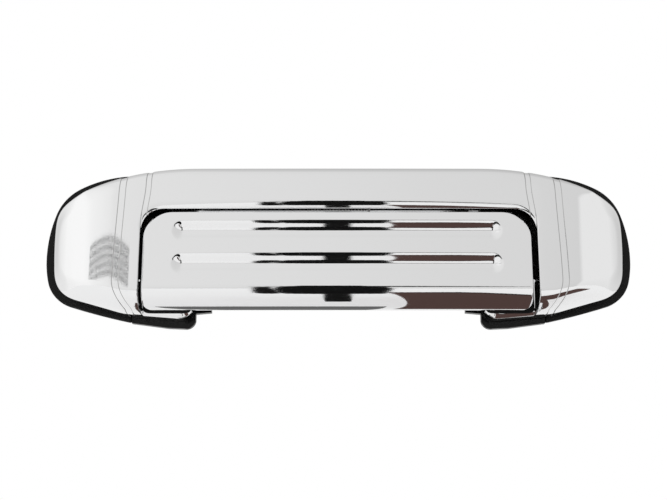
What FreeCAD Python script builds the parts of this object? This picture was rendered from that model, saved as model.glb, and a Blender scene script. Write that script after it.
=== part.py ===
import FreeCAD, Part
import math
import os
import Sketcher

os.makedirs("parts", exist_ok=True)
doc = FreeCAD.newDocument("door_handle")

# Driving dimensions in millimetres. X is the handle's length, Z is up, -Y faces out of the door.
SIZES = {
    "wall": 2.2,
    "gap": 0.3,
    "bezel_face": 26.0,
    "bezel_back": 3.3,
    "bezel_end": 122.0,
    "bezel_top": 34.4,
    "shoulder_start": 60.0,
    "shoulder_radius": 122.8,
    "shoulder_end": 100.0,
    "shoulder_level": 27.7,
    "temple_radius": 143.9,
    "temple_reach": 117.0,
    "temple_height": 20.6,
    "corner_radius": 8.3,
    "heel_reach": 112.5,
    "heel_height": 20.2,
    "heel_radius": 15.5,
    "sole_reach": 90.0,
    "sole_height": 26.8,
    "foot_reach": 66.6,
    "foot_bottom": 28.6,
    "foot_end": 61.0,
    "foot_radius": 5.6,
    "foot_top": 12.0,
    "foot_face": 12.0,
    "side_radius": 90.0,
    "crown_length": 82.0,
    "crown_depth": 24.6,
    "crown_radius": 2400.0,
    "nose_radius": 56.0,
    "nose_depth": 6.0,
    "brow_depth": 8.0,
    "brow_radius": 9.0,
    "heel_roll": 6.5,
    "heel_start": 18.0,
    "heel_depth": 20.0,
    "heel_level": 24.2,
    "pocket_half": 81.8,
    "lip_height": 15.2,
    "lip_depth": 4.5,
    "pocket_corner": 9.0,
    "gasket_inner": 88.0,
    "gasket_end": 126.0,
    "gasket_top": 36.2,
    "gasket_thick": 3.0,
    "flange_bottom": 31.6,
    "flange_end": 54.0,
    "frame_back": 3.0,
    "frame_front": 8.0,
    "bar_bottom": 21.5,
    "bar_top": 30.0,
    "hinge_y": 18.8,
    "hinge_z": 13.3,
    "pin_radius": 1.6,
    "running": 0.05,
    "knuckle_radius": 3.0,
    "lug_inner": 60.0,
    "lug_width": 6.0,
    "ear_inner": 50.0,
    "ear_width": 6.0,
    "bush_radius": 2.3,
    "flap_half": 80.4,
    "flap_shift": 0.6,
    "flap_top": 14.9,
    "flap_bottom": 26.0,
    "flap_face": 24.0,
    "flap_rear": 20.0,
    "flap_corner": 12.0,
    "roll_radius": 9.0,
    "roll_start": 17.0,
    "roll_inner": 6.6,
    "roll_back": 16.0,
    "channel_half": 68.5,
    "channel_radius": 4.5,
    "channel_depth": 2.0,
    "upper_channel": 6.0,
    "lower_channel": 8.0,
    "carrier_rear": 17.5,
    "carrier_half": 75.0,
    "arm_length": 28.8,
    "pad_radius": 3.5,
    "tip_radius": 2.2,
    "tip_half": 6.0,
    "lever_x": 81.0,
    "lever_z": 6.6,
    "lever_front": 14.3,
    "lever_thick": 3.0,
    "peg_radius": 3.0,
    "pivot_radius": 2.5,
    "boss_radius": 5.0,
    "stud_x": 97.0,
    "stud_radius": 3.0,
    "stud_reach": 22.0,
}


def split(words):
    """Words such as 'wall - gap + 2' as pairs of a sign and a word."""
    pairs, sign = [], "+"
    for word in words.split():
        if word in ("+", "-"):
            sign = word
        else:
            pairs.append((sign, word))
            sign = "+"
    return pairs


def measure(words):
    """The length that the words stand for."""
    total = 0.0
    for sign, word in split(words):
        number = SIZES[word] if word in SIZES else float(word)
        total += number if sign == "+" else -number
    return total


def link(words):
    """The words as an expression that reads the sheet."""
    terms = [(sign, "Sizes." + word if word in SIZES else word) for sign, word in split(words)]
    return "0 " + " ".join("%s %s" % term for term in terms)


def flip(words):
    """The same length with its sign changed."""
    return " ".join("%s %s" % ("-" if sign == "+" else "+", word) for sign, word in split(words))


def signed(words, side):
    """The words as they are on the right-hand side, flipped on the left."""
    return words if side > 0 else flip(words)


sheet = doc.addObject("Spreadsheet::Sheet", "Sizes")
for row, (word, number) in enumerate(SIZES.items(), start=1):
    sheet.set("A%d" % row, word)
    sheet.set("B%d" % row, "%g" % number)
    sheet.setAlias("B%d" % row, word)
doc.recompute()


def new_body(label):
    """An empty body with the given label."""
    body = doc.addObject("PartDesign::Body", label)
    body.Label = label
    return body


def on_plane(body, role, offset):
    """An empty sketch on one of the body's own planes, moved along the plane's normal."""
    sketch = body.newObject("Sketcher::SketchObject", body.Name + "_sketch")
    planes = [entry for entry in body.Origin.OriginFeatures if entry.Role == role]
    sketch.AttachmentSupport = (planes[0], [""])
    sketch.MapMode = "FlatFace"
    sketch.setExpression("AttachmentOffset.Base.z", link(offset))
    return sketch


def bind(sketch, kind, where, words):
    """A dimension of the sketch that follows the sheet."""
    index = sketch.addConstraint(Sketcher.Constraint(kind, *where, measure(words)))
    sketch.setExpression("Constraints[%d]" % index, link(words))


def arc_between(start, end, radius, turn):
    """The short arc from start to end; turn 1 keeps its centre on the left of the travel."""
    chord = end - start
    half = chord.Length / 2
    normal = FreeCAD.Vector(-chord.y, chord.x, 0).normalize()
    centre = (start + end) * 0.5 + normal * (turn * math.sqrt(radius**2 - half**2))
    first, last = (start, end) if turn > 0 else (end, start)
    begin = math.atan2(first.y - centre.y, first.x - centre.x)
    finish = math.atan2(last.y - centre.y, last.x - centre.x)
    finish += 2 * math.pi if finish < begin else 0
    circle = Part.Circle(centre, FreeCAD.Vector(0, 0, 1), radius)
    return Part.ArcOfCircle(circle, begin, finish)


def profile(body, role, corners, offset="0"):
    """A closed sketch through the corners; a corner with four entries starts an arc, the others a line."""
    sketch = on_plane(body, role, offset)
    points = [FreeCAD.Vector(measure(corner[0]), measure(corner[1]), 0) for corner in corners]
    count = len(corners)
    ends = []
    for index, corner in enumerate(corners):
        start, end = points[index], points[(index + 1) % count]
        if len(corner) == 4:
            sketch.addGeometry(arc_between(start, end, measure(corner[2]), corner[3]))
            ends.append((1, 2) if corner[3] > 0 else (2, 1))
        else:
            sketch.addGeometry(Part.LineSegment(start, end))
            ends.append((1, 2))
    for index in range(count):
        following = (index + 1) % count
        joint = Sketcher.Constraint("Coincident", index, ends[index][1], following, ends[following][0])
        sketch.addConstraint(joint)
    for index, corner in enumerate(corners):
        bind(sketch, "DistanceX", (-1, 1, index, ends[index][0]), corner[0])
        bind(sketch, "DistanceY", (-1, 1, index, ends[index][0]), corner[1])
        if len(corner) == 4:
            bind(sketch, "Radius", (index,), corner[2])
    return sketch


def mirrored(half):
    """The half outline from the middle outwards, closed with its mirror image in X."""
    other = []
    for index in range(len(half) - 1, -1, -1):
        arc = half[index - 1][2:] if index > 0 else ()
        other.append((flip(half[index][0]), half[index][1]) + tuple(arc))
    return half + other


def reflected(corners):
    """The closed outline's mirror image in X."""
    return [(flip(c[0]), c[1]) + ((c[2], -c[3]) if len(c) == 4 else ()) for c in corners]


def disc(body, role, across, along, radius, offset="0"):
    """A sketch of one circle."""
    sketch = on_plane(body, role, offset)
    centre = FreeCAD.Vector(measure(across), measure(along), 0)
    sketch.addGeometry(Part.Circle(centre, FreeCAD.Vector(0, 0, 1), measure(radius)))
    bind(sketch, "DistanceX", (-1, 1, 0, 3), across)
    bind(sketch, "DistanceY", (-1, 1, 0, 3), along)
    bind(sketch, "Radius", (0,), radius)
    return sketch


def pad(body, sketch, length, both=False, back=False):
    """Material added along the sketch's normal, or to both sides of it."""
    feature = body.newObject("PartDesign::Pad", body.Name + "_pad")
    feature.Profile = sketch
    feature.setExpression("Length", link(length))
    feature.SideType = "Symmetric" if both else "One side"
    feature.Reversed = back
    doc.recompute()
    return feature


def pocket(body, sketch, length, both=False, back=False):
    """Material cut away against the sketch's normal; the volume has to fall."""
    before = body.Shape.Volume
    feature = body.newObject("PartDesign::Pocket", body.Name + "_pocket")
    feature.Profile = sketch
    feature.setExpression("Length", link(length))
    feature.SideType = "Symmetric" if both else "One side"
    feature.Reversed = back
    doc.recompute()
    assert body.Shape.Volume < before - 0.01, feature.Name
    return feature


TURN_TO = {
    "X": FreeCAD.Rotation(FreeCAD.Vector(0, 1, 0), 90),
    "Y": FreeCAD.Rotation(FreeCAD.Vector(1, 0, 0), -90),
    "Z": FreeCAD.Rotation(),
}


def put(item, x, y, z, axis="Z"):
    """Place an object by words, its own Z turned to the given axis."""
    item.Placement = FreeCAD.Placement(FreeCAD.Vector(), TURN_TO[axis])
    item.setExpression("Placement.Base.x", link(x))
    item.setExpression("Placement.Base.y", link(y))
    item.setExpression("Placement.Base.z", link(z))
    return item


def rod(name, axis, x, y, z, radius, length):
    """A round bar that starts at the point and runs along the axis."""
    bar = doc.addObject("Part::Cylinder", name)
    bar.setExpression("Radius", link(radius))
    bar.setExpression("Height", link(length))
    return put(bar, x, y, z, axis)


def block(name, x, y, z, length, width, height):
    """A rectangular block with its low corner at the point."""
    brick = doc.addObject("Part::Box", name)
    brick.setExpression("Length", link(length))
    brick.setExpression("Width", link(width))
    brick.setExpression("Height", link(height))
    return put(brick, x, y, z)


def join(label, items):
    """The items as one solid."""
    result = doc.addObject("Part::MultiFuse", label)
    result.Shapes = items
    result.Refine = True
    result.Label = label
    doc.recompute()
    return result


def remove(label, base, tools):
    """The base with the tools cut out of it; the volume has to fall."""
    result = doc.addObject("Part::Cut", label)
    result.Base = base
    result.Tool = tools[0] if len(tools) == 1 else join(label + "_tools", tools)
    result.Label = label
    doc.recompute()
    assert result.Shape.Volume < base.Shape.Volume - 0.01, label
    return result


def group(label, items):
    """Separate solids kept together as one node."""
    result = doc.addObject("Part::Compound", label)
    result.Links = items
    result.Label = label
    doc.recompute()
    return result


def tube(label, axis, x, y, z, radius, bore, length):
    """A plain ring or sleeve."""
    outside = rod(label + "_outside", axis, x, y, z, radius, length)
    inside = rod(label + "_inside", axis, x, y, z, bore, length)
    doc.recompute()
    return remove(label, outside, [inside])


# ---------------------------------------------------------------- bezel shell
def bezel_half(inset):
    """Half of the arch-shaped silhouette, moved inwards by the inset."""
    grow = flip(inset)
    end = "bezel_end - 0.4 " + grow
    return [
        ("20", "bezel_top " + grow),
        ("shoulder_start", "bezel_top " + grow, "shoulder_radius " + grow, -1),
        ("shoulder_end " + grow, "shoulder_level " + grow, "temple_radius " + grow, -1),
        ("temple_reach " + grow, "temple_height " + grow, "corner_radius " + grow, -1),
        (end, "13.2", "side_radius", -1),
        (end + " - 0.4", "- 6", "heel_radius " + grow, -1),
        ("heel_reach " + grow, "- heel_height " + inset),
        ("sole_reach", "- sole_height " + inset),
        ("foot_reach", "- foot_bottom " + inset, "foot_radius " + grow, -1),
        ("foot_end " + inset, "- 22.6"),
        ("foot_end + 1 " + inset, "- foot_top " + grow),
        ("pocket_half " + inset, "- foot_top " + grow),
        ("pocket_half " + inset, "lip_height - pocket_corner", "pocket_corner + 0.001 " + inset, 1),
        ("pocket_half - pocket_corner", "lip_height " + inset),
    ]


def nose(inset):
    """The region in front of the crowned face, seen from above."""
    grow = flip(inset)
    return mirrored([
        ("20", "- 40"),
        ("140", "- 40"),
        ("140", "- nose_depth " + inset),
        ("bezel_end " + grow, "- nose_depth " + inset, "nose_radius " + grow, -1),
        ("crown_length", "- crown_depth " + inset, "crown_radius " + grow, -1),
        ("20", "- bezel_face " + inset),
    ])


def brow(inset):
    """The region outside the rolled top edge, seen from the end."""
    return [
        ("- 40", "bezel_top - brow_depth"),
        ("- bezel_face " + inset, "bezel_top - brow_depth", "brow_radius " + flip(inset), -1),
        ("- bezel_face + brow_depth", "bezel_top " + flip(inset)),
        ("- bezel_face + brow_depth", "50"),
        ("- 40", "50"),
    ]


def heel(inset):
    """The region outside the rolled lower edge, seen from the end."""
    return [
        ("- 40", "- 50"),
        ("- 9", "- 50"),
        ("- 9", "- foot_bottom " + inset),
        ("- heel_depth", "- heel_level " + inset, "heel_roll " + flip(inset), -1),
        ("- bezel_face " + inset, "- heel_start"),
        ("- 40", "- heel_start"),
    ]


def bezel_block(label, inset):
    """The full bezel volume, or its hollow when the inset is a wall's thickness."""
    body = new_body(label)
    sketch = profile(body, "XZ_Plane", mirrored(bezel_half(inset)), "bezel_back")
    pad(body, sketch, "30")
    pocket(body, profile(body, "XY_Plane", nose(inset)), "120", both=True)
    pocket(body, profile(body, "YZ_Plane", brow(inset)), "300", both=True)
    pocket(body, profile(body, "YZ_Plane", heel(inset)), "300", both=True)
    return body


outer = bezel_block("bezel_outer", "+ 0")


def mouth(margin):
    """Half of the pocket's opening with its rounded upper corner, widened by the margin."""
    return mirrored([
        ("20", "lip_height " + margin),
        ("pocket_half - pocket_corner", "lip_height " + margin, "pocket_corner + 0.001 " + margin, -1),
        ("pocket_half " + margin, "lip_height - pocket_corner"),
        ("pocket_half " + margin, "- 40"),
    ])


pocket(outer, profile(outer, "XZ_Plane", mouth("+ 0"), "foot_face"), "20", back=True)

hollow = bezel_block("bezel_hollow", "+ wall")
pocket(hollow, profile(hollow, "XZ_Plane", mouth("+ wall"), "foot_face - wall"), "20", back=True)

SCREW_SPOTS = [("- 103", "16"), ("- 30", "26"), ("30", "26"), ("103", "16")]
STOP_SPOTS = [("- 70", "- 18"), ("70", "- 18")]
bosses = [
    rod("bezel_boss", "Y", x, "- 15", z, "3.4", "6.6") if x.endswith("103")
    else rod("bezel_boss", "Y", x, "- 24.2", z, "3.4", "11.8")
    for x, z in SCREW_SPOTS
]
shell = remove("bezel_skin", outer, [hollow])
shell = join("bezel_with_bosses", [shell] + bosses)
cuts = [rod("bezel_pilot", "Y", x, "- 20" if x.endswith("30") else "- 13", z, "1.5", "15") for x, z in SCREW_SPOTS]
cuts += [rod("stop_hole", "Y", x, "- 13", z, "1.55", "6") for x, z in STOP_SPOTS]
cuts += [block("lip_relief", "- 79", "- bezel_face + 2", "lip_height - 2", "158", "21.1", "lip_depth + 1")]
bezel = remove("bezel_shell", shell, cuts)

# ---------------------------------------------------------------- base frame
frame_half = [
    ("20", "bar_top"),
    ("70", "bar_top"),
    ("96", "25"),
    ("107.5", "19.5"),
    ("113.3", "8"),
    ("113.3", "- 8"),
    ("107.5", "- 16.2"),
    ("sole_reach", "- sole_height + wall + gap"),
    ("foot_reach + 1", "- foot_bottom + wall + gap"),
    ("foot_end + wall + gap + 2", "- 19"),
    ("foot_end + wall + gap + 2", "- foot_top - wall - gap"),
    ("pocket_half + wall + gap", "- foot_top - wall - gap"),
    ("pocket_half + wall + gap", "bar_bottom"),
]
frame = new_body("base_frame_plate")
pad(frame, profile(frame, "XZ_Plane", mirrored(frame_half), "frame_back"), "frame_front - frame_back")
flange_half = [
    ("20", "bar_top"),
    ("gasket_inner - gap", "bar_top"),
    ("gasket_inner - gap", "- 29.2"),
    ("72", "- flange_bottom + 0.3"),
    ("65", "- flange_bottom", "4.2", -1),
    ("60.6", "- 28.2"),
    ("60.6", "- 25.2"),
    ("flange_end", "- 24.6"),
    ("flange_end", "- 10"),
    ("64", "- 10"),
    ("64", "bar_bottom - 4"),
]
pad(frame, profile(frame, "XZ_Plane", mirrored(flange_half), "0"), "frame_back")
for side in (1, -1):
    spot = signed("stud_x", side)
    pad(frame, disc(frame, "XZ_Plane", spot, "0 + 0", "7.5", "frame_front"), "3")

bar = block("top_bar", "- 70", "- 13", "bar_bottom", "140", "10.5", "bar_top - bar_bottom")
lug_parts = []
for side in (1, -1):
    low = "lug_inner" if side > 0 else "- lug_inner - lug_width"
    lug_parts.append(rod("lug_eye", "X", low, "- hinge_y", "hinge_z", "knuckle_radius", "lug_width"))
    lug_parts.append(block("lug_neck", low, "- hinge_y - 1", "hinge_z", "lug_width", "7.6", "bar_bottom - hinge_z + 4"))
bracket = block("lever_bracket", "66", "- 3", "- 4", "21.4", "7", "24")
spring_tab = block("spring_tab", "10", "- 15.6", "bar_bottom", "6", "4", "4")
lever_boss = rod("lever_boss", "Y", "lever_x", "3", "lever_z", "boss_radius", "10")
buffer_peg = rod("buffer_peg", "Y", "71", "3", "lever_z + 7.5", "1.5", "13.5")
doc.recompute()
solid_frame = join("frame_solid", [frame, bar, bracket, spring_tab, lever_boss, buffer_peg] + lug_parts)
frame_cuts = [
    rod("pin_bore", "X", "- 70", "- hinge_y", "hinge_z", "pin_radius + running", "140"),
    rod("pivot_bore", "Y", "lever_x", "- 4", "lever_z", "pivot_radius + 0.02", "18"),
    rod("pivot_head_seat", "Y", "lever_x", "- 9", "lever_z", "4.6", "8.1"),
]
for side in (1, -1):
    spot = signed("stud_x", side)
    frame_cuts.append(rod("stud_bore", "Y", spot, "- 12", "0", "stud_radius + 0.45", "14"))
    frame_cuts.append(rod("stud_head_seat", "Y", spot, "- 12", "0", "5.6", "4"))
for x, z in SCREW_SPOTS:
    frame_cuts.append(rod("screw_hole", "Y", x, "- 20", z, "1.7", "22"))
    frame_cuts.append(rod("screw_seat", "Y", x, "- 5", z, "3.2", "6"))
for x, z in (("30", "26"), ("- 30", "26")):
    frame_cuts.append(rod("boss_room", "Y", x, "- 16", z, "3.7", "4"))
for x, z in STOP_SPOTS:
    frame_cuts.append(rod("stop_room", "Y", x, "- 9", z, "2", "2.5"))
base_frame = remove("base_frame", solid_frame, frame_cuts)

# ---------------------------------------------------------------- end gaskets
gasket_outline = [
    ("gasket_inner", "gasket_top", "51", -1),
    ("112.5", "30.4", "20.9", -1),
    ("122.6", "18.6", "58.8", -1),
    ("gasket_end - 0.3", "- 2", "44.4", -1),
    ("124.4", "- 11.5", "14.8", -1),
    ("114.5", "- 22", "280", -1),
    ("gasket_inner", "- 28.9"),
]
gaskets = []
for side, label in ((-1, "end_gasket_left"), (1, "end_gasket_right")):
    gasket = new_body(label)
    outline = gasket_outline if side > 0 else reflected(gasket_outline)
    pad(gasket, profile(gasket, "XZ_Plane", outline, "0"), "gasket_thick")
    pocket(gasket, disc(gasket, "XZ_Plane", signed("stud_x", side), "0 + 0", "3.8", "gasket_thick"), "6", both=True)
    pocket(gasket, disc(gasket, "XZ_Plane", signed("103", side), "16", "4", "gasket_thick"), "6", both=True)
    gaskets.append(gasket)

# ---------------------------------------------------------------- fixings of the frame
studs = []
for side in (-1, 1):
    spot = signed("stud_x", side)
    head = rod("stud_head", "Y", spot, "- 11", "0", "5.4", "3")
    shoulder = rod("stud_shoulder", "Y", spot, "- 9", "0", "stud_radius + 0.4", "9")
    shank = rod("stud_shank", "Y", spot, "- 1", "0", "stud_radius", "1 + stud_reach")
    doc.recompute()
    studs.append(join("stud", [head, shoulder, shank]))
mounting_studs = group("mounting_studs", studs)

screws = []
for x, z in SCREW_SPOTS:
    start, reach = ("- 19", "15") if x.endswith("30") else ("- 12", "8")
    shank = rod("screw_shank", "Y", x, start, z, "1.48", reach)
    head = rod("screw_head", "Y", x, "- 4.9", z, "3", "2")
    doc.recompute()
    screws.append(join("bezel_screw", [shank, head]))
bezel_screws = group("bezel_screws", screws)

# ---------------------------------------------------------------- hinge
pin_parts = [rod("pin_middle", "X", "- 66.6", "- hinge_y", "hinge_z", "pin_radius", "133.2")]
clips = []
for side in (1, -1):
    groove = "66.5" if side > 0 else "- 67.8"
    tip = "67.6" if side > 0 else "- 69.6"
    pin_parts.append(rod("pin_groove", "X", groove, "- hinge_y", "hinge_z", "1.2", "1.3"))
    pin_parts.append(rod("pin_tip", "X", tip, "- hinge_y", "hinge_z", "pin_radius", "2"))
    clip_start = "66.7" if side > 0 else "- 67.5"
    clips.append(tube("clip", "X", clip_start, "- hinge_y", "hinge_z", "2.7", "1.25", "0.8"))
doc.recompute()
hinge_pin = join("hinge_pin", pin_parts)
hinge_pin_clips = group("hinge_pin_clips", clips)

bushes = []
for side, label in ((-1, "hinge_bush_left"), (1, "hinge_bush_right")):
    centre = "ear_inner + 3 - flap_shift" if side > 0 else "- ear_inner - 3 - flap_shift"
    sleeve = rod(label + "_sleeve", "X", centre + " - 3", "- hinge_y", "hinge_z", "bush_radius", "ear_width")
    rim = rod(label + "_rim", "X", centre + (" + 3.05" if side > 0 else " - 4.05"), "- hinge_y", "hinge_z", "2.7", "1")
    bridge = rod(label + "_bridge", "X", centre + " - 3.5", "- hinge_y", "hinge_z", "bush_radius", "7")
    bore = rod(label + "_bore", "X", centre + " - 6", "- hinge_y", "hinge_z", "pin_radius + running", "12")
    doc.recompute()
    bushes.append(remove(label, join(label + "_solid", [sleeve, rim, bridge]), [bore]))

# ---------------------------------------------------------------- flap cover
cover = new_body("cover_plate")
section = [
    ("- flap_rear", "10.4"),
    ("- flap_rear - 1.9", "10.4"),
    ("- flap_rear - 1.9", "flap_top"),
    ("- flap_face + 2", "flap_top", "2", 1),
    ("- flap_face", "flap_top - 2"),
    ("- flap_face", "- roll_start", "roll_radius", 1),
    ("- roll_back", "- flap_bottom + 0.06"),
    ("- roll_back", "- flap_bottom + 2.5", "roll_inner", -1),
    ("- flap_rear", "- 22.1"),
]
pad(cover, profile(cover, "YZ_Plane", section), "flap_half + flap_half", both=True)
end_section = [
    ("- roll_back", "3"),
    ("- flap_rear - 1.9", "9"),
    ("- flap_rear - 1.9", "flap_top"),
    ("- flap_face + 2", "flap_top", "2", 1),
    ("- flap_face", "flap_top - 2"),
    ("- flap_face", "- roll_start", "roll_radius", 1),
    ("- roll_back", "- flap_bottom + 0.06"),
]
for side in (1, -1):
    offset = "flap_half - wall" if side > 0 else "- flap_half"
    pad(cover, profile(cover, "YZ_Plane", end_section, offset), "wall")
for height in ("upper_channel", "- lower_channel"):
    slot = profile(cover, "XZ_Plane", [
        ("- channel_half + channel_radius", height + " - channel_radius"),
        ("channel_half - channel_radius", height + " - channel_radius", "channel_radius + 0.001", 1),
        ("channel_half - channel_radius", height + " + channel_radius"),
        ("- channel_half + channel_radius", height + " + channel_radius", "channel_radius + 0.001", 1),
    ], "flap_face")
    pocket(cover, slot, "channel_depth")


top_corner = [
    ("flap_half - flap_corner", "flap_top + 1"),
    ("flap_half - flap_corner", "flap_top"),
    ("flap_half", "flap_top - flap_corner"),
    ("flap_half + 1", "flap_top - flap_corner"),
    ("flap_half + 1", "flap_top + 1"),
]
top_corner[1] = top_corner[1] + ("flap_corner + 0.001", -1)
for corner in (top_corner, reflected(top_corner)):
    pocket(cover, profile(cover, "XZ_Plane", corner, "flap_face + 1"), "12")
put(cover, "- flap_shift", "0", "0")
pilot_spots = [("- 71.6", "2"), ("- 34", "- 15.5"), ("34", "- 15.5"), ("71.6", "2")]
pilots = [rod("cover_pilot", "Y", x + " - flap_shift", "- 22.6", z, "1.25", "7") for x, z in pilot_spots]
doc.recompute()
flap_cover = remove("flap_cover", cover, pilots)

# ---------------------------------------------------------------- flap carrier
plate = new_body("carrier_plate")
pad(plate, profile(plate, "XZ_Plane", [
    ("- carrier_half + 3", "- 20"),
    ("carrier_half - 3", "- 20"),
    ("carrier_half", "- 14"),
    ("carrier_half", "5"),
    ("carrier_half - 4", "9.8"),
    ("- carrier_half + 4", "9.8"),
    ("- carrier_half", "5"),
    ("- carrier_half", "- 14"),
], "carrier_rear"), "flap_rear - carrier_rear - 0.05")
put(plate, "- flap_shift", "0", "0")
parts = [plate]
for side in (1, -1):
    low = "ear_inner - flap_shift" if side > 0 else "- ear_inner - ear_width - flap_shift"
    parts.append(rod("ear_eye", "X", low, "- hinge_y", "hinge_z", "knuckle_radius", "ear_width"))
    parts.append(block("ear_web", low, "- flap_rear + 0.05", "8", "ear_width", "4", "hinge_z - 8"))
arm_x = "ear_inner - flap_shift"
parts.append(block("push_arm", arm_x, "- hinge_y + 1.5", "hinge_z - 2.6", "ear_width", "arm_length - 1.5", "5.2"))
tip_x = "ear_inner + 3 - flap_shift - tip_half"
parts.append(rod("arm_tip", "X", tip_x, "arm_length - hinge_y", "hinge_z", "tip_radius", "tip_half + tip_half"))
parts.append(rod("arm_collar", "X", arm_x, "arm_length - hinge_y", "hinge_z", "2.6", "ear_width"))
parts.append(block("spring_hook", "- 16", "- carrier_rear - 0.5", "5.6", "6", "3.4", "1.8"))
doc.recompute()
carrier = join("carrier_solid", parts)
carrier_cuts = [
    rod("ear_bore", "X", "- 60", "- hinge_y", "hinge_z", "bush_radius + 0.02", "120"),
    rod("hook_hole", "Z", "- 13", "- hinge_y + 2.4", "5", "0.7", "4"),
]
for x, z in pilot_spots:
    carrier_cuts.append(rod("cover_screw_hole", "Y", x + " - flap_shift", "- 21", z, "1.4", "5"))
flap_carrier = remove("flap_carrier", carrier, carrier_cuts)

cover_screws = []
for x, z in pilot_spots:
    shank = rod("cover_screw_shank", "Y", x + " - flap_shift", "- 22.4", z, "1.24", "5.5")
    head = rod("cover_screw_head", "Y", x + " - flap_shift", "- 17.48", z, "2.3", "1.4")
    doc.recompute()
    cover_screws.append(join("flap_screw", [shank, head]))
flap_screws = group("flap_screws", cover_screws)

sleeves = []
for x in ("ear_inner - flap_shift - 3", "ear_inner + ear_width - flap_shift"):
    sleeves.append(tube("pad_sleeve", "X", x, "arm_length - hinge_y", "hinge_z", "pad_radius", "tip_radius + 0.02", "3"))
wrap = rod("pad_wrap", "X", "ear_inner - flap_shift - 0.5", "arm_length - hinge_y", "hinge_z", "pad_radius", "7")
core = rod("pad_core", "X", "ear_inner - flap_shift - 1", "arm_length - hinge_y", "hinge_z", "2.62", "8")
slit = block("pad_slit", "ear_inner - flap_shift - 0.05", "arm_length - hinge_y - 5", "hinge_z - 2.65", "6.1", "5", "5.3")
doc.recompute()
wrap = remove("pad_ring", wrap, [core, slit])
push_pad = join("push_pad", sleeves + [wrap])

# ---------------------------------------------------------------- springs
def coil_spring(label, radius, wire, pitch, height, start_leg, end_leg):
    """A close coil about the body's own Z with a straight leg at each end."""
    body = new_body(label)
    section = disc(body, "XZ_Plane", radius, "0 + 0", wire)
    coil = body.newObject("PartDesign::AdditiveHelix", label + "_coil")
    coil.Profile = section
    coil.ReferenceAxis = (section, ["V_Axis"])
    coil.Mode = 0
    coil.setExpression("Pitch", link(pitch))
    coil.setExpression("Height", link(height))
    doc.recompute()
    pad(body, section, start_leg)
    pad(body, disc(body, "XZ_Plane", radius, height, wire), end_leg, back=True)
    return body


flap_spring = coil_spring("flap_return_spring", "2.4", "0.45", "1.3", "26", "8.2", "10")
upright = FreeCAD.Rotation(FreeCAD.Vector(1, 1, 1), 120)
flap_spring.Placement = FreeCAD.Placement(FreeCAD.Vector(), upright)
flap_spring.setExpression("Placement.Base.x", link("- 13"))
flap_spring.setExpression("Placement.Base.y", link("- hinge_y"))
flap_spring.setExpression("Placement.Base.z", link("hinge_z"))

lever_spring = coil_spring("lever_return_spring", "6.3", "0.6", "1.5", "6", "5", "8")
put(lever_spring, "lever_x", "5", "lever_z", "Y")

# ---------------------------------------------------------------- bump stops
stops = []
for side, label in ((-1, "bump_stop_left"), (1, "bump_stop_right")):
    spot = signed("70", side)
    button = rod(label + "_button", "Y", spot, "- carrier_rear + 0.2", "- 18", "4", "carrier_rear - foot_face - 0.2")
    stem = rod(label + "_stem", "Y", spot, "- foot_face - 1", "- 18", "1.5", "4.5")
    doc.recompute()
    stops.append(join(label, [button, stem]))

# ---------------------------------------------------------------- release lever
lever = new_body("lever_plate")
sheet_metal = profile(lever, "XZ_Plane", [
    ("lever_x - arm_length", "lever_z - 4"),
    ("lever_x + 1", "lever_z - 5.5", "6", 1),
    ("lever_x + 6", "lever_z - 1.5"),
    ("lever_x + 13.4", "lever_z + 14.6", "4", 1),
    ("lever_x + 6.4", "lever_z + 18.4"),
    ("lever_x - 3", "lever_z + 4.6"),
    ("lever_x - arm_length", "lever_z + 4", "4.0001", 1),
], "- lever_front")
pad(lever, sheet_metal, "lever_thick", back=True)
peg = rod("lever_peg", "Y", "lever_x - arm_length", "3", "lever_z", "peg_radius", "lever_front + lever_thick - 3")
doc.recompute()
lever_solid = join("lever_solid", [lever, peg])
release_lever = remove("release_lever", lever_solid, [
    rod("lever_bore", "Y", "lever_x", "12", "lever_z", "4", "8"),
    rod("rod_eye", "Y", "lever_x + 10", "12", "lever_z + 16.5", "2.45", "8"),
])
lever_bush = tube("lever_bush", "Y", "lever_x", "lever_front - 1", "lever_z", "3.98", "pivot_radius + running", "lever_thick + 1.2")
pivot_parts = [
    rod("pivot_head", "Y", "lever_x", "- 3", "lever_z", "4.4", "2"),
    rod("pivot_shank", "Y", "lever_x", "- 2", "lever_z", "pivot_radius", "20.8"),
    rod("pivot_neck", "Y", "lever_x", "18.7", "lever_z", "2", "1.2"),
    rod("pivot_tip", "Y", "lever_x", "19.8", "lever_z", "pivot_radius", "1.2"),
]
doc.recompute()
lever_pivot_pin = join("lever_pivot_pin", pivot_parts)
lever_washer = tube("lever_washer", "Y", "lever_x", "17.7", "lever_z", "6", "pivot_radius + 0.1", "0.8")
lever_clip = tube("lever_clip", "Y", "lever_x", "18.9", "lever_z", "4.4", "2.04", "0.8")
lever_stop_buffer = tube("lever_stop_buffer", "Y", "71", "4.1", "lever_z + 7.5", "3", "1.52", "12")

# ---------------------------------------------------------------- rod clip
clip_parts = [
    rod("clip_head", "Y", "lever_x + 10", "17.6", "lever_z + 16.5", "4.2", "8"),
    rod("clip_stub", "Y", "lever_x + 10", "13", "lever_z + 16.5", "2.4", "5"),
    rod("clip_catch", "Y", "lever_x + 10", "13", "lever_z + 16.5", "2.9", "1"),
]
doc.recompute()
rod_clip = remove("rod_clip", join("clip_solid", clip_parts), [
    rod("rod_hole", "X", "lever_x + 4", "21.6", "lever_z + 16.5", "1.5", "12"),
])
doc.recompute()

NODES = [bezel, base_frame, mounting_studs, bezel_screws, hinge_pin, hinge_pin_clips, flap_cover, flap_carrier,
         flap_screws, push_pad, flap_spring, lever_spring, release_lever, lever_bush, lever_pivot_pin,
         lever_washer, lever_clip, lever_stop_buffer, rod_clip] + gaskets + bushes + stops

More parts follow.
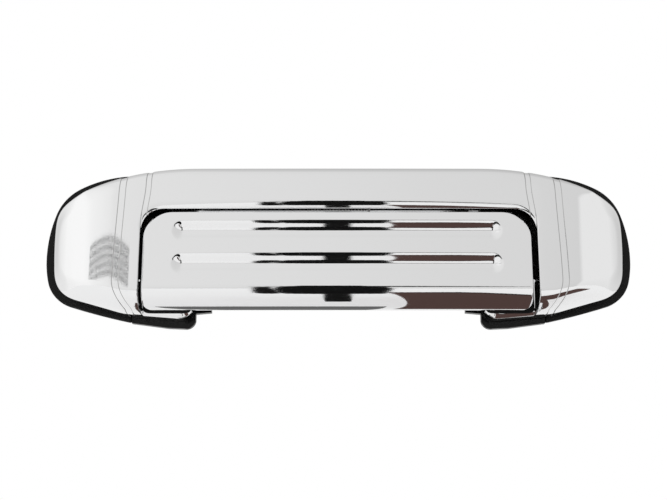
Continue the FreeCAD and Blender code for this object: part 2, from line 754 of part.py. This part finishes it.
for item in doc.Objects:
    assert "Invalid" not in item.State and "Error" not in item.State, item.Name
for node in NODES:
    assert not node.Shape.isNull() and node.Shape.isValid(), node.Label
    node.Shape.exportStep("parts/%s.step" % node.Label)
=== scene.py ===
import bmesh
import bpy
import numpy as np
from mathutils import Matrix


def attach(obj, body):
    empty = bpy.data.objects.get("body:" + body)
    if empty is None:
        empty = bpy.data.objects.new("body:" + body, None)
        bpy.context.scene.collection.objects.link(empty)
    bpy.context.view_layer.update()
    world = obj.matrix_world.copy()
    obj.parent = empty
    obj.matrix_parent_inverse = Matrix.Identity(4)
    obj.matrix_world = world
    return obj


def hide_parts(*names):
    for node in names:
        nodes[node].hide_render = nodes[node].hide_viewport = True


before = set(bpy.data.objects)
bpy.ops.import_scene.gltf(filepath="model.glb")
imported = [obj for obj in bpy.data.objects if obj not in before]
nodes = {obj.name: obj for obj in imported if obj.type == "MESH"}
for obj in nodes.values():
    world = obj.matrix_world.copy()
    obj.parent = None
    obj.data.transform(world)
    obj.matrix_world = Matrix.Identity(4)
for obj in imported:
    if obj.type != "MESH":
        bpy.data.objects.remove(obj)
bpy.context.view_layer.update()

# ------------------------------------------------------------------ bezel shell
# The arch-shaped shell that frames the flap: a zinc die casting, buffed, nickelled and chromed.
# Its face is crowned, its outer edge is rolled back to the door and its lip turns in round the pocket;
# two fine bands cross each end cap. The bosses that take the frame's screws are hidden and left out here.
MM = 0.001
face_height = 26
face_fall = 1.4
nose_start = 82
back_height = 3.3


def arc(start, end, radius, turn):
    """Points on the short arc from start to end, centre + radius (cos a, sin a); turn 1 bends left."""
    start, end = np.array(start, float), np.array(end, float)
    chord = end - start
    half = np.hypot(*chord) / 2
    normal = np.array([-chord[1], chord[0]]) / (2 * half)
    centre = (start + end) / 2 + normal * turn * np.sqrt(radius**2 - half**2)
    first = np.arctan2(*(start - centre)[::-1])
    last = np.arctan2(*(end - centre)[::-1])
    sweep = (last - first + np.pi) % (2 * np.pi) - np.pi
    angle = first + sweep * np.linspace(0, 1, 40)
    return centre + radius * np.stack([np.cos(angle), np.sin(angle)], 1)


def even_path(pieces, step, blur):
    """The pieces joined, resampled every step mm and averaged with the weights exp(-(s/blur)^2/2)."""
    points = np.concatenate([np.array(piece, float) for piece in pieces])
    keep = np.append(True, np.hypot(*np.diff(points, axis=0).T) > 1e-6)
    points = points[keep]
    length = np.append(0, np.cumsum(np.hypot(*np.diff(points, axis=0).T)))
    count = int(length[-1] / step)
    along = np.linspace(0, length[-1], count)
    even = np.stack([np.interp(along, length, points[:, axis]) for axis in (0, 1)], 1)
    if blur:
        reach = int(3 * blur / step)
        weight = np.exp(-((np.arange(-reach, reach + 1) * step / blur) ** 2) / 2)
        weight /= weight.sum()
        ahead = 2 * even[0] - even[reach:0:-1]
        behind = 2 * even[-1] - even[-2:-reach - 2:-1]
        padded = np.concatenate([ahead, even, behind])
        even = np.stack([np.convolve(padded[:, axis], weight, "valid") for axis in (0, 1)], 1)
    return even


def pick(path, share):
    """The points at the given shares (0 to 1) of the path's length."""
    length = np.append(0, np.cumsum(np.hypot(*np.diff(path, axis=0).T)))
    return np.stack([np.interp(share * length[-1], length, path[:, axis]) for axis in (0, 1)], -1)


def reach_from(path, x, z):
    """Distance of each (x, z) from the path, |cross(P - Q, tangent)| at nearest sample Q; Q's number."""
    tangent = np.gradient(path, axis=0)
    tangent /= np.hypot(*tangent.T)[:, None]
    flat = np.stack([x.ravel(), z.ravel()], 1)
    nearest = np.concatenate([
        ((part[:, None] - path[None]) ** 2).sum(2).argmin(1) for part in np.array_split(flat, 40)
    ])
    offset = flat - path[nearest]
    away = np.abs(offset[:, 0] * tangent[nearest, 1] - offset[:, 1] * tangent[nearest, 0])
    return away.reshape(x.shape), nearest.reshape(x.shape)


def crown(x):
    """Height of the crowned face: face - fall (x / start)^2, then an arc of 56 mm radius at the nose."""
    x = np.abs(x)
    middle = face_height - face_fall * (x / nose_start) ** 2
    nose = arc((nose_start, face_height - face_fall), (122, 6), 56, -1)
    return np.where(x < nose_start, middle, np.interp(x, nose[:, 0], nose[:, 1]))


def step_up(value, low, high):
    """0 below low, 1 above high, 3t^2 - 2t^3 between."""
    t = np.clip((value - low) / (high - low), 0, 1)
    return t * t * (3 - 2 * t)


def roll(distance, radius):
    """Quarter-ellipse drop, 1 - sqrt(1 - (1 - d/r)^2), from 1 at the edge to 0 at the radius."""
    t = np.clip(1 - distance / radius, 0, 1)
    return 1 - np.sqrt(1 - t * t)


def cast(name, points, body, finish, marks=None, ring=True):
    """A closed skin from a grid (rows, columns, 3) of X, height above the door and Z in mm; Y = -height."""
    rows, columns = points.shape[:2]
    place = np.stack([points[..., 0], -points[..., 1], points[..., 2]], -1).reshape(-1, 3) * MM
    number = np.arange(rows * columns).reshape(rows, columns)
    if ring:
        number = np.concatenate([number, number[:1]])
    faces = np.stack([number[:-1, :-1], number[1:, :-1], number[1:, 1:], number[:-1, 1:]], -1).reshape(-1, 4)
    mesh = bpy.data.meshes.new(name)
    mesh.from_pydata(place.tolist(), [], faces.tolist())
    if marks is not None:
        band = mesh.attributes.new("band", "FLOAT", "POINT")
        band.data.foreach_set("value", marks.ravel().astype(np.float32))
    skin = bmesh.new()
    skin.from_mesh(mesh)
    bmesh.ops.remove_doubles(skin, verts=skin.verts, dist=2e-6)
    bmesh.ops.holes_fill(skin, edges=[edge for edge in skin.edges if edge.is_boundary], sides=0)
    bmesh.ops.recalc_face_normals(skin, faces=skin.faces)
    skin.to_mesh(mesh)
    skin.free()
    mesh.materials.append(finish)
    mesh.polygons.foreach_set("use_smooth", np.ones(len(mesh.polygons), bool))
    mesh.update()
    piece = bpy.data.objects.new(name, mesh)
    bpy.context.scene.collection.objects.link(piece)
    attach(piece, body)
    return piece


def finish_nodes(name, colour, metallic, rough, grain, scratch, shine=0.5):
    """A surface with uneven roughness, fine scratches and a soft waviness, all on object coordinates."""
    material = bpy.data.materials.new(name)
    material.use_nodes = True
    tree = material.node_tree
    shader = tree.nodes["Principled BSDF"]
    shader.inputs["Base Color"].default_value = (*colour, 1)
    shader.inputs["Metallic"].default_value = metallic
    shader.inputs["Specular IOR Level"].default_value = shine
    where = tree.nodes.new("ShaderNodeTexCoord")
    mottle = tree.nodes.new("ShaderNodeTexNoise")
    mottle.inputs["Scale"].default_value = grain[0]
    mottle.inputs["Detail"].default_value = 6
    spread = tree.nodes.new("ShaderNodeMapRange")
    spread.inputs["To Min"].default_value = rough[0]
    spread.inputs["To Max"].default_value = rough[1]
    hair = tree.nodes.new("ShaderNodeMapping")
    hair.inputs["Scale"].default_value = scratch[0]
    hair.inputs["Rotation"].default_value = (0.1, 0.35, 0.2)
    lines = tree.nodes.new("ShaderNodeTexNoise")
    lines.inputs["Scale"].default_value = grain[1]
    lines.inputs["Detail"].default_value = 3
    bump = tree.nodes.new("ShaderNodeBump")
    bump.name = "fine"
    bump.inputs["Strength"].default_value = scratch[1]
    bump.inputs["Distance"].default_value = scratch[2]
    link = tree.links.new
    link(where.outputs["Object"], mottle.inputs["Vector"])
    link(mottle.outputs["Fac"], spread.inputs["Value"])
    link(spread.outputs["Result"], shader.inputs["Roughness"])
    link(where.outputs["Object"], hair.inputs["Vector"])
    link(hair.outputs["Vector"], lines.inputs["Vector"])
    link(lines.outputs["Fac"], bump.inputs["Height"])
    link(bump.outputs["Normal"], shader.inputs["Normal"])
    return material


PLATE = ((0.93, 0.935, 0.945), 1.0, (0.015, 0.045), (90, 900), ((1, 14, 14), 0.05, 0.00002))
banded = finish_nodes("chrome plate with bands", *PLATE)
tree = banded.node_tree
mark = tree.nodes.new("ShaderNodeAttribute")
mark.attribute_name = "band"
edge_of = tree.nodes.new("ShaderNodeMapRange")
edge_of.interpolation_type = "SMOOTHSTEP"
edge_of.inputs["From Min"].default_value = -0.2
edge_of.inputs["From Max"].default_value = 0.2
sink = tree.nodes.new("ShaderNodeBump")
sink.inputs["Distance"].default_value = 0.0004
tree.links.new(mark.outputs["Fac"], edge_of.inputs["Value"])
tree.links.new(edge_of.outputs["Result"], sink.inputs["Height"])
tree.links.new(tree.nodes["fine"].outputs["Normal"], sink.inputs["Normal"])
tree.links.new(sink.outputs["Normal"], tree.nodes["Principled BSDF"].inputs["Normal"])
# Painted shade: the base colour darkens to 0.4 grey near each band's edge (|band| below about 0.06 to 0.24),
# standing in for the shade and dark reflections at the groove's steep edges.
corner_of = tree.nodes.new("ShaderNodeMath")
corner_of.operation = "ABSOLUTE"
groove_edge_shade = tree.nodes.new("ShaderNodeValToRGB")
groove_edge_shade.color_ramp.elements[0].color, groove_edge_shade.color_ramp.elements[0].position = (0.4, 0.4, 0.4, 1), 0.06
groove_edge_shade.color_ramp.elements[1].color, groove_edge_shade.color_ramp.elements[1].position = (0.93, 0.935, 0.945, 1), 0.24
tree.links.new(mark.outputs["Fac"], corner_of.inputs[0])
tree.links.new(corner_of.outputs["Value"], groove_edge_shade.inputs["Fac"])
tree.links.new(groove_edge_shade.outputs["Color"], tree.nodes["Principled BSDF"].inputs["Base Color"])
chrome = finish_nodes("chrome plate on zinc", *PLATE)

rim_half = [
    [(0, 34.2), (60, 34.2)], arc((60, 34.2), (100, 27.7), 127, -1),
    arc((100, 27.7), (117.1, 20.8), 143.9, -1),
    arc((117.1, 20.8), (121.7, 13.2), 8.3, -1), arc((121.7, 13.2), (121.3, -6), 90, -1),
    arc((121.3, -6), (112.5, -20.2), 15.5, -1), [(112.5, -20.2), (90, -26.8), (81.8, -27.35)],
]
rim = even_path(rim_half, 0.25, 2.2)
mouth_half = [
    [(0, 15.2), (72.8, 15.2)], arc((72.8, 15.2), (81.8, 6.2), 9, -1), [(81.8, 6.2), (81.8, -27.5)],
]
mouth = even_path(mouth_half, 0.25, 0.8)


def share_of(path, marks):
    """Share of the path's length at which it passes nearest to each mark."""
    length = np.append(0, np.cumsum(np.hypot(*np.diff(path, axis=0).T)))
    near = ((path[None] - np.array(marks, float)[:, None]) ** 2).sum(2).argmin(1)
    near[0], near[-1] = 0, len(path) - 1
    return length[near] / length[-1]


def band_gap(x, z, side):
    """Distance outside the two fine bands, the lesser of |x - band| - half width; negative inside."""
    curl = np.clip(-14 - z, 0, 12) / 12
    low = step_up(33 - z, 0, 50)
    outer_band = (90 + 1.7 * low if side < 0 else 91.6 + 1.6 * low) - 5 * curl**2
    inner_band = 79.1 + 1.8 * step_up(26 - z, 0, 18)
    return np.minimum(np.abs(x - outer_band) - 1.4, np.abs(x - inner_band) - 1.1)


def bezel_half(side):
    """Half the shell, rim + (mouth - rim) v carried round by u; height = crown - edge roll - lip roll."""
    knots = [0, 0.36, 0.5, 0.64, 0.8, 0.93, 1]
    u = np.linspace(0, 1, 300)
    outer = pick(rim, np.interp(u, knots, share_of(rim, [
        (0, 34.2), (74, 33.4), (109, 24.7), (121.7, 4), (112.5, -20.2), (90, -26.8), (81.8, -27.35)])))
    inner = pick(mouth, np.interp(u, knots, share_of(mouth, [
        (0, 15.2), (70, 15.2), (79.2, 12.6), (81.8, 2), (81.8, -15.5), (81.8, -24.6), (81.8, -27.5)])))
    v = (1 - np.cos(np.pi * np.linspace(0, 1, 84))) / 2
    flat = outer[None] + (inner - outer)[None] * v[:, None, None]
    x, z = flat[..., 0], flat[..., 1]
    face = crown(x)
    away, near = reach_from(rim, x, z)
    top = step_up(rim[:, 1], 8, 30)
    sole = step_up(-rim[:, 1], 4, 25)
    shoulder = np.minimum(6 + 12 * top + 5 * sole, crown(rim[:, 0]) - 1.2)[near]
    width = (4 + 4 * top + 4.6 * sole)[near]
    height = face - (face - shoulder) * roll(away, width)
    turned, beside = reach_from(mouth, x, z)
    lip = step_up(mouth[:, 1], 4, 15)
    drop = 0.9 + lip * np.minimum(1.1, crown(mouth[:, 0]) - 24.87)
    height = height - drop[beside] * roll(turned, (0.7 + 3.1 * lip)[beside])
    sunk = 1 - step_up(band_gap(x, z, side), -0.3, 0.3)
    outer = outer - np.array([0, 0.35]) * (sunk[0] * step_up(outer[:, 1], 20, 26))[:, None]
    z = z - 0.35 * (1 - step_up(away, 0, 3)) * sunk * step_up(z, 18, 24)
    side_wall = np.stack([
        np.stack([outer[:, 0], back_height + (height[0] - back_height) * t, outer[:, 1]], -1)
        for t in (0, 0.2, 0.5, 0.8, 0.95)
    ])
    surface = np.stack([x, height, z], -1)
    straight = 1 - step_up(inner[:, 1], 11.5, 13.2)
    edge = height[-1]
    floor = 23.95 * (1 - straight) + 5 * straight
    tangent = np.gradient(inner, axis=0)
    tangent /= np.hypot(*tangent.T)[:, None]
    normal = np.stack([-tangent[:, 1], tangent[:, 0]], -1)
    normal *= np.sign((normal * (outer - inner)).sum(1) + 1e-9)[:, None]
    span = np.hypot(*(outer - inner).T)
    grow = np.clip(span / 4, 0, 1)
    turn_in = (3.3 * (1 - straight) + 0.5 * straight) * grow
    rear = []
    down_in_deep = (
        (0.15, 0, 0), (0.5, 0, 0), (1, 0, 0), (1, 0.3, 0), (1, 1, 0), (1, 1, 0.4), (1, 1, 1),
    )
    for t, step, deep in down_in_deep:
        flat_end = inner + normal * (turn_in * step)[:, None]
        level = edge + (np.minimum(floor, edge - 0.1) - edge) * t
        level = level + (np.minimum(14 * (1 - straight) + 4 * straight, level) - level) * deep
        rear.append(np.stack([flat_end[:, 0], level, flat_end[:, 1]], -1))
    far = inner + normal * (turn_in + grow)[:, None]
    back = outer + (inner - outer) * np.clip(1 / np.maximum(span, 1), 0, 0.4)[:, None]
    inside = [np.stack([far[:, 0], level, far[:, 1]], -1),
              np.stack([far[:, 0], np.maximum(level, crown(far[:, 0]) - 3.2), far[:, 1]], -1)]
    inside += [np.stack([x[k], np.maximum(height[k] - 1.8, 3.6), z[k]], -1) for k in (46, 36, 28, 20)]
    inside += [np.stack([back[:, 0], np.maximum(height[0] - 0.6, 3.5), back[:, 1]], -1),
               np.stack([back[:, 0], np.full(len(u), back_height), back[:, 1]], -1)]
    grid = np.concatenate([side_wall, surface, np.stack(rear), np.stack(inside)])
    marks = band_gap(grid[..., 0], grid[..., 2], side)
    grid[..., 0] *= side
    return grid, marks


(right_half, right_marks), (left_half, left_marks) = bezel_half(1), bezel_half(-1)
bezel = cast("bezel", np.concatenate([left_half[:, :0:-1], right_half], axis=1), "frame", banded,
             np.concatenate([left_marks[:, :0:-1], right_marks], axis=1))


def foot(side):
    """The low foot under the flap's corner: height = 12 - 2.6 roll(distance from the edge, 3) in mm."""
    edge = even_path([
        [(82.4, -27.3), (66.6, -28.6)], arc((66.6, -28.6), (61, -22.6), 5.6, -1),
        [(61, -22.6), (62, -12)],
    ], 0.2, 0.6)
    u = np.linspace(0, 1, 120)
    outer = pick(edge, u)
    top = np.array([(82.4, -12.0), (66.0, -12.0), (62.2, -12.0)])
    inner = pick(top, np.interp(u, (0, 0.6, 1), (0, 0.8, 1)))
    v = np.linspace(0, 1, 40)[:, None, None] ** 1.6
    flat = outer[None] + (inner - outer)[None] * v
    away, _ = reach_from(edge, flat[..., 0], flat[..., 1])
    height = 12 - 2.6 * roll(away, 3.0)
    wall = [np.stack([outer[:, 0], np.full(len(u), back_height + 6.1 * t), outer[:, 1]], -1)
            for t in (0, 0.3, 0.7, 0.95)]
    back = outer + (inner - outer) * 0.08
    inside = [np.stack([place[:, 0], np.full(len(u), level), place[:, 1]], -1)
              for place, level in ((inner, 10.6), (back, 8.2), (back, back_height))]
    surface = np.stack([flat[..., 0], height, flat[..., 1]], -1)
    grid = np.concatenate([np.stack(wall), surface, np.stack(inside)])
    grid[..., 0] *= side
    return grid


feet = [cast("bezel_foot_" + name, foot(side), "frame", chrome)
        for side, name in ((-1, "left"), (1, "right"))]
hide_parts("bezel_shell")

# ------------------------------------------------------------------ flap cover
# The lift-up flap's skin: a zinc die casting, buffed and chromed like the bezel, screwed to the nylon
# carrier behind it. Two long finger channels with round ends run along it, its upper corners are
# rounded, its rim is rolled, and its lower edge turns under in a quarter circle that the fingers pull.


def flap_skin():
    """Rays from a level spine to the outline; height = face - bottom roll - rim roll - channels."""
    rays = 420
    edge = even_path([
        [(0, 14.9), (68.4, 14.9)], arc((68.4, 14.9), (80.4, 2.9), 12, -1), [(80.4, 2.9), (80.4, -23)],
        arc((80.4, -23), (77.4, -25.94), 3.0, -1), [(77.4, -25.94), (0, -25.94)],
    ], 0.2, 0.6)
    turn = np.linspace(0, 1, rays)
    shares = share_of(edge, [(0, 14.9), (64, 14.9), (66, -25.94), (0, -25.94)])
    outline = pick(edge, np.interp(turn, (0, 0.38, 0.62, 1), shares))
    spine = np.stack([66 * np.clip(np.minimum(turn, 1 - turn) / 0.38, 0, 1), np.full(rays, -1.0)], 1)
    v = 1 - np.linspace(1, 0, 96) ** 1.9
    flat = spine[None] + (outline - spine)[None] * v[:, None, None]
    ray = outline - spine
    inset = outline - ray * (1.2 / np.hypot(*ray.T))[:, None]
    x, z = (np.concatenate([flat[..., k], inset[None, :, k]]) for k in (0, 1))
    away, _ = reach_from(edge, x, z)
    under = np.clip((-17 - z) / 8.94, 0, 1)
    lower = 24 - 0.5 * (x / 80) ** 2 - 9 * (1 - np.sqrt(1 - under**2))
    rim_width = 0.9 + 1.1 * step_up(z, 4, 13)
    height = lower - rim_width * roll(away, rim_width) * step_up(z, -25.9, -23.2)
    for level in (6.0, -8.0):
        spread = np.hypot(np.clip(x - 64, 0, None), z - level)
        height = height - 0.88 * (1 + np.cos(np.pi * np.clip(spread / 4.7, 0, 1)))
    rim_end = np.minimum(16, height[-2] - 0.3)
    rows = [np.stack([x[:-1], height[:-1], z[:-1]], -1)]
    for t in (0.1, 0.4, 1):
        level = height[-2] + (rim_end - height[-2]) * t
        rows.append(np.stack([outline[:, 0], level, outline[:, 1]], -1)[None])
    inner_face = lower - 3.1
    rows += [np.stack([inset[:, 0], level, inset[:, 1]], -1)[None] for level in (rim_end, inner_face[-1])]
    rows += [np.stack([x[k], inner_face[k], z[k]], -1)[None] for k in (70, 48, 30, 0)]
    grid = np.concatenate(rows)
    grid = np.concatenate([grid, (grid * (-1, 1, 1))[:, ::-1]], axis=1)
    grid[..., 0] -= 0.6
    return grid


flap = cast("flap_cover_skin", flap_skin(), "flap", chrome, ring=False)
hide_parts("flap_cover")

# ------------------------------------------------------------------ black frame, gaskets and rubber stops
# The frame behind is glass-filled nylon moulded in gloss black; each end gasket is a solid EPDM rim
# moulded flat and stretched over the frame. Studs and screws are steel, zinc plated and passivated; no finish
# is given to them here.


def dress(names, finish, ease):
    """Gives the nodes the finish, welds their triangles and eases each sharp edge by the width in mm."""
    for name in names:
        piece = nodes[name]
        for place in piece.material_slots:
            place.material = finish
        weld = piece.modifiers.new("weld", "WELD")
        weld.merge_threshold = 0.000002
        round_off = piece.modifiers.new("eased_edges", "BEVEL")
        round_off.limit_method = "ANGLE"
        round_off.angle_limit = 0.7
        round_off.width = ease * MM
        round_off.segments = 2
        round_off.use_clamp_overlap = True


black_gloss = finish_nodes("gloss black nylon", (0.004, 0.004, 0.004), 0.0, (0.12, 0.22), (60, 500),
                           ((1, 1, 1), 0.05, 0.00005), shine=0.2)
dress(["base_frame"], black_gloss, 0.3)
rubber = finish_nodes("matte rubber", (0.005, 0.005, 0.005), 0.0, (0.6, 0.8), (150, 1500),
                      ((1, 1, 1), 0.35, 0.00006), shine=0.25)
dress(["end_gasket_left", "end_gasket_right"], rubber, 0.7)
dress(["bump_stop_left", "bump_stop_right", "lever_stop_buffer"], rubber, 0.3)

# ------------------------------------------------------------------ rubber pads, and dark strips as painted shade in the gaps
# Black rubber cut from sheet and glued on: a pad on the face of each foot. The strip behind the gap at each
# end of the flap is painted shade:
# a dark sheet put where the gap is only in shade. The edges are a little rounded.


def rubber_sheet(side, mid, half, level):
    """A plate about mid with a rolled rim: x = half_x c^(1/4), z = half_z s^(1/4), c and s of the angle."""
    angle = np.linspace(0, 2 * np.pi, 129)[None]
    share = np.array([0, 1, 1, 1, 0.985, 0.95, 0.6, 0])[:, None]
    rise = np.array([0, 0, 0.1, 0.35, 0.46, 0.5, 0.5, 0.5])[:, None]
    soft = [np.sign(part) * np.abs(part) ** 0.25 for part in (np.cos(angle), np.sin(angle))]
    x, z = mid[0] + half[0] * soft[0] * share, mid[1] + half[1] * soft[1] * share
    return np.stack([x * side, level + rise + 0 * x, z], -1)


sheets = (
    ("foot_pad_", (71.5, -19.6), (10.2, 7.2), 11.95),
    # the gap strip is painted shade: a black sheet that darkens the gap at the flap's ends
    ("gap_shade_sheet_", (79, -0.5), (2.7, 11.7), 11.9),
)
pads = [cast(kind + name, rubber_sheet(side, mid, half, level), "frame", rubber, ring=False)
        for side, name in ((-1, "left"), (1, "right"))
        for kind, mid, half, level in sheets]

# ------------------------------------------------------------------ hinge, carrier and springs
# A ground steel pin runs through the frame's lugs and the carrier's bushed ears, held by spring clips.
# The carrier is moulded in grained nylon, the bushes are white acetal and the springs are coiled wire.
bright = finish_nodes("ground steel", (0.62, 0.62, 0.63), 1.0, (0.18, 0.3), (150, 1200),
                      ((60, 1, 1), 0.1, 0.00002))
dress(["hinge_pin", "lever_pivot_pin"], bright, 0.15)
oxide = finish_nodes("black oxide steel", (0.03, 0.03, 0.033), 0.7, (0.35, 0.5), (150, 900),
                     ((1, 1, 1), 0.15, 0.00003))
dress(["hinge_pin_clips", "lever_clip"], oxide, 0.1)
wire = finish_nodes("spring wire", (0.45, 0.44, 0.43), 1.0, (0.25, 0.4), (200, 1500),
                    ((1, 1, 30), 0.15, 0.00002))
dress(["flap_return_spring", "lever_return_spring"], wire, 0.05)
acetal = finish_nodes("white acetal", (0.78, 0.77, 0.74), 0.0, (0.3, 0.45), (120, 900),
                      ((1, 1, 1), 0.08, 0.00003))
dress(["hinge_bush_left", "hinge_bush_right", "push_pad", "lever_bush", "lever_washer"], acetal, 0.15)
nylon = finish_nodes("grained black nylon", (0.022, 0.022, 0.023), 0.0, (0.42, 0.6), (100, 1400),
                     ((1, 1, 1), 0.4, 0.00006))
dress(["flap_carrier"], nylon, 0.3)

# ------------------------------------------------------------------ release lever and rod clip
# The lever is a fine-blanked steel plate, zinc plated. The clip that holds the lock rod is moulded in
# orange plastic and snaps into the lever's eye.
zinc = finish_nodes("bright zinc plate", (0.66, 0.67, 0.69), 1.0, (0.2, 0.36), (120, 700),
                    ((1, 1, 1), 0.18, 0.00004))
dress(["release_lever"], zinc, 0.3)
orange = finish_nodes("orange clip plastic", (0.75, 0.2, 0.02), 0.0, (0.3, 0.45), (120, 900),
                      ((1, 1, 1), 0.08, 0.00003))
dress(["rod_clip"], orange, 0.25)

# ------------------------------------------------------------------ studio
# A white room with a pale floor, and the things that a mirror finish picks up: the camera's user, a hand,
# the stand, a shelf, a brown board and its edge, a grey bench and a blind. All but the floor are seen only
# as reflections.
scene = bpy.context.scene
scene.view_settings.view_transform = "Standard"
world = bpy.data.worlds.new("room")
scene.world = world
world.use_nodes = True
room = world.node_tree
way = room.nodes.new("ShaderNodeTexCoord")
parts = room.nodes.new("ShaderNodeSeparateXYZ")
seen = room.nodes.new("ShaderNodeLightPath")
room.links.new(way.outputs["Generated"], parts.inputs["Vector"])


def shade_along(axis, stops):
    """Brightness of the room by one axis a of the direction, read off a ramp of stops at (1 + a) / 2."""
    spread = room.nodes.new("ShaderNodeMapRange")
    spread.inputs["From Min"].default_value = -1
    ramp = room.nodes.new("ShaderNodeValToRGB")
    room.links.new(parts.outputs[axis], spread.inputs["Value"])
    room.links.new(spread.outputs["Result"], ramp.inputs["Fac"])
    first, last = ramp.color_ramp.elements
    first.position, last.position = 0, 1
    first.color, last.color = [(stops[k][1],) * 3 + (1,) for k in (0, -1)]
    for place, shade in stops[1:-1]:
        ramp.color_ramp.elements.new((1 + place) / 2).color = (shade, shade, shade, 1)
    return ramp.outputs["Color"]


def blend(kind, source, first, second):
    """The mix first + (second - first) * source; a constant is put on its socket, a result is linked."""
    mix = room.nodes.new("ShaderNodeMix")
    mix.data_type = kind
    ends = [socket for socket in mix.inputs if socket.type == ("VALUE" if kind == "FLOAT" else kind)][-2:]
    for socket, value in zip([mix.inputs["Factor"], *ends], (source, first, second)):
        if isinstance(value, (float, tuple)):
            socket.default_value = value
        else:
            room.links.new(value, socket)
    return [socket for socket in mix.outputs if socket.type == ("VALUE" if kind == "FLOAT" else kind)][0]


product = None
for axis, stops in (
    ("X", ((-1, 0.95), (-0.96, 1.0), (-0.9, 1.0), (-0.83, 0.93), (-0.75, 0.9), (-0.66, 0.86),
           (-0.6, 0.81), (-0.4, 0.8), (-0.2, 0.79), (0, 0.76), (0.12, 0.73), (0.35, 0.7),
           (0.78, 0.68), (0.815, 0.84), (1, 0.84))),
    ("Z", ((-1, 0.9), (0, 0.97), (0.2, 1.0), (0.9, 1.0), (1, 0.97))),
    ("Y", ((-1, 1.0), (0, 1.0), (0.12, 0.9), (0.5, 0.75), (1, 0.65))),
):
    part = shade_along(axis, stops)
    if product is None:
        product = part
    else:
        times = room.nodes.new("ShaderNodeMath")
        times.operation = "MULTIPLY"
        room.links.new(product, times.inputs[0])
        room.links.new(part, times.inputs[1])
        product = times.outputs["Value"]
backdrop = room.nodes["Background"].inputs
by_camera = seen.outputs["Is Camera Ray"]
warm_white, white = (1.0, 0.995, 0.985, 1.0), (1.0, 1.0, 1.0, 1.0)
room.links.new(blend("FLOAT", by_camera, product, 1.0), backdrop["Strength"])
room.links.new(blend("RGBA", by_camera, warm_white, white), backdrop["Color"])


def card(name, corners, colour, glow=0.0, hidden=True):
    """A flat card through the corners in metres; its light is colour * glow, and hidden ones only reflect."""
    mesh = bpy.data.meshes.new(name)
    mesh.from_pydata(corners, [], [tuple(range(len(corners)))])
    material = bpy.data.materials.new(name)
    material.use_nodes = True
    shader = material.node_tree.nodes["Principled BSDF"]
    shader.inputs["Base Color"].default_value = (*colour, 1)
    shader.inputs["Roughness"].default_value = 0.9
    shader.inputs["Specular IOR Level"].default_value = 0.1
    shader.inputs["Emission Color"].default_value = (*colour, 1)
    shader.inputs["Emission Strength"].default_value = glow
    mesh.materials.append(material)
    piece = bpy.data.objects.new(name, mesh)
    scene.collection.objects.link(piece)
    piece.visible_camera = not hidden
    piece.visible_shadow = not hidden
    return piece


card("floor", [(-3, -3, -0.5), (3, -3, -0.5), (3, 3, -0.5), (-3, 3, -0.5)], (0.9, 0.9, 0.9), 0.3,
     hidden=False)
card("photographer", [(x, -0.462, z) for x, z in (
    (-0.05, -0.36), (-0.02, -0.375), (0.02, -0.37), (0.0485, -0.36), (0.05, -0.1), (0.044, -0.02),
    (0.02, 0.03), (-0.03, 0.03), (-0.052, -0.03), (-0.055, -0.12),
)], (0.008, 0.008, 0.008))
card("hand", [(x, -0.455, z) for x, z in (
    (-0.071, -0.02), (-0.056, -0.02), (-0.055, -0.12), (-0.051, -0.3), (-0.057, -0.35),
    (-0.071, -0.35), (-0.077, -0.3), (-0.073, -0.12),
)], (0.01, 0.009, 0.009))
card("stand", [(-0.012, -0.46, -0.3), (0.014, -0.46, -0.3), (0.01, -0.05, -0.3), (-0.008, -0.05, -0.3)],
     (0.01, 0.01, 0.01))
card("shelf", [(-0.085, -0.5, 0.004), (-0.03, -0.5, -0.018), (0.06, -0.5, -0.026), (0.13, -0.5, -0.02),
               (0.2, -0.5, -0.002), (0.14, -0.5, 0.006), (0.07, -0.5, 0.016), (0.0, -0.5, 0.018)],
     (0.01, 0.01, 0.01))
board_level = -0.22
board_front = [(0.042, -0.36), (0.1, -0.375), (0.116, -0.34), (0.124, -0.26), (0.15, -0.17)]
board_rear = [(0.3, -0.25), (0.6, -0.3), (0.6, -0.16), (0.3, -0.1), (0.16, -0.06), (0.15, 0.3), (0.042, 0.3)]
edge_tops = [-0.21, -0.209, -0.207, -0.21, -0.214]
card("brown_board", [(x, y, board_level) for x, y in board_front + board_rear],
     (0.075, 0.045, 0.04), 0.35)
card("board_edge", [(x, y, board_level) for x, y in board_front]
     + [(x, y, top) for (x, y), top in zip(board_front, edge_tops)][::-1], (0.008, 0.008, 0.008))
card("grey_bench", [(-0.11, 0.08, -0.2), (0.03, 0.08, -0.2), (0.03, 0.6, -0.2), (-0.11, 0.6, -0.2)],
     (0.2, 0.2, 0.2))
for step in range(5):
    low = 0.13 + 0.0088 * step
    card("blind_%d" % step, [(-0.711, -0.351, low), (-0.533, -0.511, low + 0.003), (-0.355, -0.671, low),
                             (-0.355, -0.671, low + 0.0035), (-0.533, -0.511, low + 0.0065),
                             (-0.711, -0.351, low + 0.0035)], (0.04, 0.04, 0.045))

eye = bpy.data.cameras.new("eye")
eye.lens, eye.sensor_width = 59, 36
viewer = bpy.data.objects.new("eye", eye)
viewer.location = (-0.0021, -0.4603, -0.1113)
viewer.rotation_euler = (np.radians(104), 0, 0)
scene.collection.objects.link(viewer)
scene.camera = viewer
